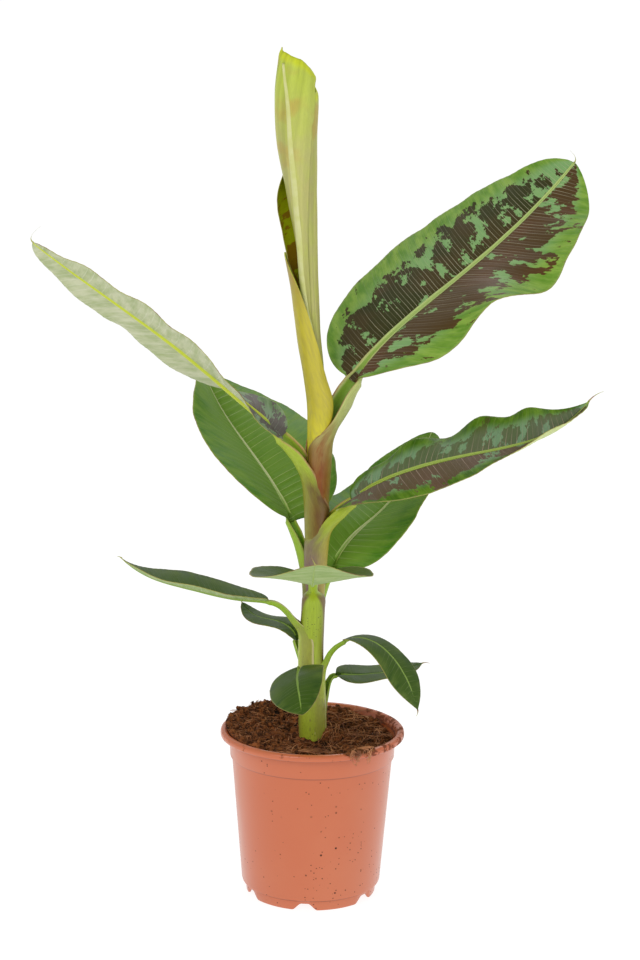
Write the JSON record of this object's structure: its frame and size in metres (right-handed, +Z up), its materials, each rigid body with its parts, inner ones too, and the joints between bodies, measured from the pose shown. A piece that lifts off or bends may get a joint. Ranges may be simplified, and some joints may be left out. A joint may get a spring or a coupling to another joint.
{
  "type": "potted banana plant",
  "caption": "Young banana plant with a sheathed stem, arching paddle leaves and a rolled new leaf, in a round tapered nursery pot.",
  "frame": {"origin": "centre of the pot's underside, on the surface the pot stands on", "axes": "+Z up along the stem, +X to the right and +Y away from a viewer in front of the plant"},
  "size_m": [0.6155, 0.4874, 0.9619],
  "materials": {
    "pot_plastic": "satin moulded plastic",
    "soil": "rough fibrous crumbs",
    "stem": "satin skin",
    "leaf": "satin leaf",
    "spear_leaf": "satin leaf"
  },
  "bodies": {
    "root": {"pot": "pot_plastic", "soil": "soil", "trunk": "stem", "spear": "spear_leaf", "stalk_upper_right": "stem", "blade_upper_right": "leaf", "stalk_upper_left": "stem", "blade_upper_left": "leaf", "stalk_middle_right": "stem", "blade_middle_right": "leaf", "stalk_back_left": "stem", "blade_back_left": "leaf", "stalk_back_right": "stem", "blade_back_right": "leaf", "stalk_front": "stem", "blade_front": "leaf", "stalk_lower_left": "stem", "blade_lower_left": "leaf", "stalk_drooping_right": "stem", "blade_drooping_right": "leaf", "stalk_small_left": "stem", "blade_small_left": "leaf", "stalk_small_front": "stem", "blade_small_front": "leaf", "stalk_small_right": "stem", "blade_small_right": "leaf"}
  },
  "joints": []
}
